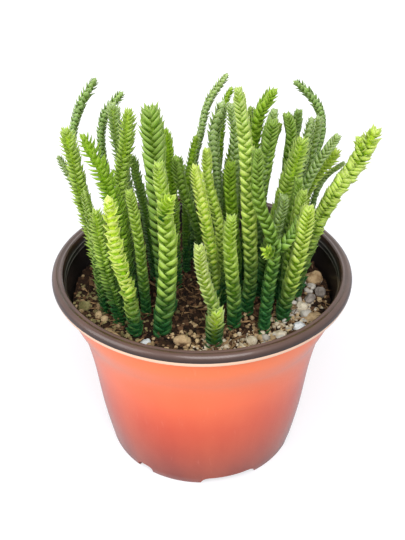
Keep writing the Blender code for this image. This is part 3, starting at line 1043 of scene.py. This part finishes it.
def leaf_youth(way, left, grown, old_and_shade_reach, least):
    """How far a leaf is from the dark green of old leaves and painted shade, 0, towards the green of
    the tip, 1 or more.

    It rises up the stem, and more slowly where that dark green reaches further. Grown is 0 at the
    root, and least holds the lowest youth that the line's lowest and top leaves may have.
    """
    youth = 0.5 * min(1.0, way / (HALF_RISE * old_and_shade_reach))
    youth += 0.25 * min(1.0, way / (NEXT_RISE * old_and_shade_reach))
    youth += 0.25 * (1 - eased(left / LAST_RISE)) * grown
    low, high = least
    return max(youth, low + (high - low) * (1 - eased(left / SHOOT_RISE)))


def leafy(node_name, leaf, lines, habit, head, draw):
    """A stem's thin core and all its opposite pairs of leaves, joined into one piece.

    Its lines are its own and those of its side shoots, each with its points, full diameter, least
    youth and flare. Going up a line, way is how far along a pair stands, in m, and left is how many
    diameters there still are to the growing point.
    """
    turn, spread, loose, breadth, stretch, fine, unruly = HABITS[habit]
    turn += draw.uniform(-8, 8)
    braid = abs(math.sin(math.radians(2 * turn)))
    girth = FACE_ON_SIZE + (BRAID_SIZE - FACE_ON_SIZE) * braid
    old_and_shade_reach = draw.uniform(0.8, 1.1) * OLD_AND_SHADE_REACH.get(node_name, 1.0)
    parts = []
    for points, full, least, flare in lines:
        apart = 1 + (SHOOT_STEP - 1) * flare
        path = Path(points)
        end = path.length - TIP_LEAVES * full * girth
        parts.append(core(node_name, path, full * girth, end))
        way = 0.0
        pair = 0
        while way < end + 0.01 * full:
            left = (end - way) / full
            opened = eased(left / TIP_REACH)
            grown = eased(way / full / FOOT_REACH)
            diameter = full * girth * (1 + (head - 1) * (1 - eased(left / HEAD_REACH)))
            youth = leaf_youth(way, left, grown, old_and_shade_reach, least)
            size = diameter * (SMALLEST + (1 - SMALLEST) * eased(left / SMALL_REACH))
            thin = THINNEST + (1 - THINNEST) * eased(left / THIN_REACH)
            open_lean = LEAN_BASE + (LEAN_GROWN - LEAN_BASE) * grown
            lean = LEAN_TIP + (open_lean - LEAN_TIP) * opened
            lean += spread * (0.3 + 0.7 * opened) + SHOOT_FLARE * flare
            here = Matrix.Translation(path.at(way)) @ path.frame(way, diameter)
            for side in (0, 180):
                around = turn + 90 * (pair % 2) + side + draw.gauss(0, unruly)
                shape = (size, breadth, thin, stretch)
                tilt = lean + draw.gauss(0, 0.6 * unruly)
                parts.append(one_leaf(leaf, here, around, tilt, shape, youth, draw))
            young = PAIR_STEP_TIP * diameter
            old = PAIR_STEP_GROWN * diameter + PAIR_STEP_LEAST
            step = young + (old - young) * eased(left / fine)
            way += step * apart * (1 + (loose - 1) * eased(left / LOOSE_REACH))
            pair += 1
        for lean, share, rise in BUD:
            place = end + rise * full * girth
            here = Matrix.Translation(path.at(place)) @ path.frame(place, full)
            for side in (0, 180):
                around = turn + 90 * (pair % 2) + side
                shape = (full * girth * head * share, breadth, 0.8, stretch)
                parts.append(one_leaf(leaf, here, around, lean, shape, max(1.0, least[1]), draw))
            pair += 1
    return joined(node_name + "_leafy", parts)


def one_leaf(leaf, here, around, lean, shape, youth, draw):
    """A copy of the leaf of a given size, breadth, thickness and length, leaning out of its stem."""
    size, breadth, thin, stretch = shape
    spin = Matrix.Rotation(math.radians(around - 90), 4, "Z")
    root = Matrix.Translation((0, LEAF_ROOT * size, 0))
    out = Matrix.Rotation(math.radians(-lean), 4, "X")
    roll = Matrix.Rotation(math.radians(draw.gauss(0, 4)), 4, "Z")
    broad = breadth * draw.uniform(0.95, 1.05) * (0.4 + 0.6 * thin)
    long = stretch * draw.uniform(0.95, 1.07)
    scale = Matrix.Diagonal((size * broad, size * thin, size * long, 1))
    made = copy_of(leaf, here @ spin @ root @ out @ roll @ scale)
    tone = draw.random()
    for mark in made.data.color_attributes["leaf"].data:
        mark.color = (mark.color[0], tone, youth, mark.color[3])
    return made


def core(name, path, diameter, end):
    """The thin stem inside the leaves as far as the growing point, from a rounded curve."""
    curve = bpy.data.curves.new(name + "_core", "CURVE")
    curve.dimensions = "3D"
    curve.bevel_depth = CORE_RADIUS * diameter
    curve.bevel_resolution = 1
    curve.use_fill_caps = True
    spline = curve.splines.new("POLY")
    points = [point for way, point in zip(path.ways, path.points) if way < end] + [path.at(end)]
    spline.points.add(len(points) - 1)
    for slot, point in zip(spline.points, points):
        slot.co = (*point, 1.0)
    made = bpy.data.objects.new(name + "_core", curve)
    bpy.context.scene.collection.objects.link(made)
    only(made)
    bpy.ops.object.convert(target="MESH")
    made = working()
    marks = made.data.color_attributes.new("leaf", "FLOAT_COLOR", "POINT")
    low, high = points[0].z, points[-1].z
    # A way of 0.1 gives the thin stem the painted shade of the creases.
    for corner, mark in zip(made.data.vertices, marks.data):
        mark.color = (0.1, 0.5, CORE_YOUTH * (corner.co.z - low) / (high - low), 0.0)
    return made


# How the leaf pairs sit: their turn round the stem in degrees, how many degrees more than usual they
# lean out, how far apart they stand against the usual, their breadth and length, how many diameters
# below the growing point they stand fully apart, and how many degrees they stray. Turned by 45 they
# show as a braid from the front, and by 0 as a string of beads.
HABITS = {
    "braided": (45, 1, 0.95, 1.0, 1.0, 4.5, 4),
    "plaited": (45, 1, 1.0, 1.0, 1.0, 2.5, 4),
    "dense": (45, 3, 0.78, 0.85, 1.0, 4.5, 4),
    "slanting": (25, -1, 0.75, 1.0, 0.9, 3.5, 5),
    "beaded": (0, -4, 0.62, 1.05, 0.82, 2.0, 5),
    "lumpy": (15, 8, 0.75, 1.25, 0.72, 1.5, 13),
    "feathered": (42, 14, 0.50, 0.72, 1.0, 3.0, 6),
    "clawed": (40, 16, 0.50, 0.62, 0.95, 2.0, 7),
    "loose": (5, -2, 0.55, 1.0, 0.82, 2.0, 6),
    "toothed": (32, 16, 0.38, 0.95, 0.78, 1.5, 10),
}

# Each stem's finish, the habit of its leaves, and the width of its head against its own.
STEM_LOOKS = {
    "left_stem_01": ("fresh", "plaited", 0.68),
    "left_stem_02": ("lime", "lumpy", 1.0),
    "left_stem_03": ("fresh", "feathered", 1.0),
    "left_stem_04": ("grass", "slanting", 1.0),
    "left_stem_05": ("vivid", "clawed", 1.0),
    "left_stem_06": ("fresh", "feathered", 1.0),
    "left_stem_07": ("dusty", "slanting", 1.0),
    "left_stem_08": ("deep", "loose", 1.35),
    "left_stem_09": ("deep", "loose", 1.3),
    "left_stem_10": ("dusty", "feathered", 1.2),
    "left_stem_11": ("fresh", "feathered", 1.0),
    "left_stem_12": ("fresh", "braided", 1.0),
    "left_stem_13": ("moss", "dense", 1.15),
    "left_stem_14": ("vivid", "feathered", 0.9),
    "left_stem_15": ("moss", "slanting", 1.3),
    "left_stem_16": ("deep", "feathered", 1.0),
    "left_stem_17": ("vivid", "loose", 1.1),
    "middle_stem_01": ("dusty", "loose", 1.15),
    "middle_stem_02": ("vivid", "loose", 1.0),
    "middle_stem_03": ("dusty", "beaded", 1.55),
    "middle_stem_04": ("dusty", "slanting", 1.25),
    "middle_stem_05": ("sunny", "slanting", 1.0),
    "middle_stem_06": ("lime", "slanting", 0.95),
    "middle_stem_07": ("pale", "braided", 1.0),
    "middle_stem_08": ("fresh", "plaited", 0.9),
    "middle_stem_09": ("vivid", "braided", 1.1),
    "middle_stem_10": ("capped", "braided", 0.8),
    "middle_stem_11": ("shaded", "braided", 0.9),
    "middle_stem_12": ("fresh", "braided", 1.1),
    "middle_stem_13": ("grass", "loose", 1.0),
    "right_stem_01": ("sunny", "braided", 1.05),
    "right_stem_02": ("sunny", "toothed", 1.25),
    "right_stem_03": ("fresh", "feathered", 0.95),
    "right_stem_04": ("dusty", "slanting", 1.0),
    "right_stem_05": ("vivid", "slanting", 0.9),
    "right_stem_06": ("moss", "braided", 1.1),
    "right_stem_07": ("deep", "slanting", 1.2),
    "right_stem_08": ("deep", "loose", 1.3),
    "right_stem_09": ("dusty", "beaded", 1.1),
    "right_stem_10": ("dusty", "slanting", 1.1),
    "right_stem_11": ("dusty", "slanting", 1.1),
    "right_stem_12": ("sunny", "feathered", 1.5),
    "right_stem_13": ("dusty", "loose", 1.0),
    "right_stem_14": ("moss", "braided", 1.0),
    "right_stem_15": ("dusty", "braided", 1.0),
    "right_stem_16": ("vivid", "braided", 1.1),
}

# How high the dark green of old leaves and painted shade reaches up some stems, against the usual
# height.
OLD_AND_SHADE_REACH = {
    "left_stem_01": 0.85,
    "left_stem_02": 0.8,
    "left_stem_03": 0.8,
    "left_stem_04": 0.7,
    "left_stem_06": 0.6,
    "left_stem_10": 0.8,
    "middle_stem_05": 0.8,
    "middle_stem_07": 0.6,
    "middle_stem_08": 0.8,
    "right_stem_01": 0.6,
}

# The side shoots of a stem, each with its diameter, the least youth of its lowest and its top
# leaves, how far its leaves flare, 0 to 1, and its points in mm. It starts inside its stem, or beside
# the stem below the soil's surface. A youth over 1 is brighter than a stem's own growing point.
SIDE_SHOOTS = {
    "left_stem_01": [
        (7.4, (1.05, 1.3), 0.4, [(-12.6, -24.6, 109), (-11.2, -26.5, 114.5), (-8.8, -29.5, 120)])
    ],
    "middle_stem_02": [
        (4.8, (0, 0.7), 0, [(6, 14, 64), (7, 13, 83), (8.4, 12, 99), (10, 11, 112), (12, 9, 126)])
    ],
    "middle_stem_07": [
        (6.4, (0.0, 1.25), 0, [(4.1, -33.2, 64), (4.1, -33.8, 70), (4.5, -34.4, 76), (5, -35.2, 81)])
    ],
    "middle_stem_11": [
        (3.6, (1.0, 1.3), 1, [(24.4, -23.6, 94.5), (22, -25.5, 97), (19.3, -27, 99.5)]),
        (4.2, (0.55, 0.6), 0.3, [(24.6, -23.6, 97), (28, -21, 99), (30.8, -18, 101), (32, -15, 105)]),
    ],
    "right_stem_02": [(3.9, (0.7, 0.8), 0, [(53.2, -4.2, 121), (52.2, -4.8, 124.5), (51, -5, 128.5)])],
    "right_stem_06": [
        (5.2, (0, 0.5), 0, [(19, 8, 64), (19.6, 7, 80), (20.2, 6, 98), (21.8, 5, 113), (23.6, 3, 131)])
    ],
}


def leaf_finishes():
    """The plant's greens: grown and young leaves, pale rims with painted highlight, and how light
    painted creases stay.
    """
    greens = {
        "grass": (srgb(156, 196, 72), srgb(150, 184, 68), srgb(204, 222, 150), 0.42),
        "fresh": (srgb(180, 218, 76), srgb(176, 210, 76), srgb(218, 236, 156), 0.44),
        "moss": (srgb(154, 196, 68), srgb(144, 184, 64), srgb(198, 218, 142), 0.44),
        "vivid": (srgb(152, 196, 42), srgb(154, 196, 44), srgb(188, 214, 110), 0.6),
        "lime": (srgb(218, 248, 80), srgb(230, 253, 110), srgb(248, 255, 184), 0.74),
        "pale": (srgb(200, 228, 108), srgb(208, 230, 116), srgb(236, 246, 192), 0.42),
        "dusty": (srgb(160, 196, 108), srgb(166, 196, 114), srgb(212, 228, 176), 0.5),
        "deep": (srgb(132, 170, 88), srgb(142, 178, 92), srgb(188, 210, 142), 0.6),
        "shaded": (srgb(124, 164, 48), srgb(124, 160, 50), srgb(176, 204, 118), 0.42),
        "sunny": (srgb(196, 230, 78), srgb(200, 230, 86), srgb(232, 244, 168), 0.46),
        "capped": (srgb(214, 244, 96), srgb(180, 212, 106), srgb(240, 252, 166), 0.42),
    }
    return {name: leaf_finish(name + "_leaf", *look) for name, look in greens.items()}


def shoots_of(node_name):
    """The lines of the side shoots that a stem bears."""
    lines = []
    for diameter, least, flare, points in SIDE_SHOOTS.get(node_name, []):
        lines.append(([Vector(point) * MM for point in points], diameter * MM, least, flare))
    return lines


def build_stems():
    """Every stem with its side shoots, in its own habit and green."""
    leaf = leaf_shape()
    finishes = leaf_finishes()
    slots = {part["node"]: part["material_slot"] for part in frame["record"]["subparts"]}
    for index, (node_name, (tint, habit, head)) in enumerate(STEM_LOOKS.items()):
        draw = random.Random(SEED + index)
        points, diameter = stem_line(frame["nodes"][node_name])
        lines = [(points, diameter, (0.0, 0.0), 0.0)] + shoots_of(node_name)
        piece = leafy(node_name, leaf, lines, habit, head, draw)
        smooth(piece, 55)
        dress(piece, finishes[tint], slots[node_name], node_name)
    discard(leaf)


# ---------------------------------------------------------------- setting


def turn_to(thing, place, aim):
    """Stands a camera or a lamp at a place and points it at its aim."""
    thing.location = place
    thing.rotation_euler = (Vector(aim) - Vector(place)).to_track_quat("-Z", "Y").to_euler()


def build_camera():
    """In front of the pot and looking down into it."""
    data = bpy.data.cameras.new("camera")
    data.lens = CAMERA_LENS
    data.sensor_width = 36
    camera = bpy.data.objects.new("camera", data)
    bpy.context.scene.collection.objects.link(camera)
    turn_to(camera, CAMERA_PLACE, CAMERA_AIM)
    bpy.context.scene.camera = camera


def build_floor():
    """A white floor that keeps the object's soft shadow."""
    deselect()
    bpy.ops.mesh.primitive_plane_add(size=12, location=(0, 0, 0))
    floor = settle(working(), "floor")
    constants = {
        "Base Color": srgb(196, 197, 202),
        "Roughness": 0.9,
        "Specular IOR Level": 0.0,
        "Emission Strength": 1.0,
    }
    finish = Finish("floor_white", constants)
    seen = finish.node("ShaderNodeLightPath", output="Is Camera Ray")
    away = finish.node("ShaderNodeVectorMath", {"operation": "LENGTH"}, {0: finish.place()}, "Value")
    white = seen * (FLOOR_LIFT + away.between(*FLOOR_FADE) * (1 - FLOOR_LIFT))
    lift = finish.node("ShaderNodeCombineColor", {}, {"Red": white, "Green": white, "Blue": white})
    finish.feed("Emission Color", lift)
    floor.data.materials.append(finish.material)


def build_lights():
    """A white room, full bright to look at and dimmer as a light, with two broad lamps.

    The key stands above and in front, and the weaker fill at the left.
    """
    world = bpy.data.worlds.new("room")
    bpy.context.scene.world = world
    world.use_nodes = True
    tree = world.node_tree
    background = tree.nodes["Background"]
    background.inputs["Color"].default_value = (1, 1, 1, 1)
    paths = tree.nodes.new("ShaderNodeLightPath").outputs
    seen = paths["Is Camera Ray"]
    for ray in ("Is Glossy Ray", "Is Transmission Ray"):
        either = tree.nodes.new("ShaderNodeMath")
        either.operation = "MAXIMUM"
        tree.links.new(seen, either.inputs[0])
        tree.links.new(paths[ray], either.inputs[1])
        seen = either.outputs[0]
    level = tree.nodes.new("ShaderNodeMapRange")
    level.inputs["To Min"].default_value = WORLD_LIGHT
    level.inputs["To Max"].default_value = 1.0
    tree.links.new(seen, level.inputs["Value"])
    tree.links.new(level.outputs["Result"], background.inputs["Strength"])
    lamp("key", KEY_PLACE, KEY_SIZE, KEY_WATTS)
    lamp("fill", FILL_PLACE, FILL_SIZE, FILL_WATTS)


def lamp(name, place, size, watts):
    """A square area lamp."""
    data = bpy.data.lights.new(name, "AREA")
    data.size = size
    data.energy = watts
    made = bpy.data.objects.new(name, data)
    bpy.context.scene.collection.objects.link(made)
    turn_to(made, place, LAMP_AIM)


def main():
    bpy.context.scene.view_settings.view_transform = "Standard"
    build_camera()
    build_floor()
    build_lights()
    build_pot(pot_finish())
    ground = build_soil(peat_finish())
    rocks = stone_finishes()
    for name, kind in STONE_LOOKS.items():
        build_stone(name, rocks[kind], "stone_" + kind)
    dress_soil(ground)
    build_stems()


main()
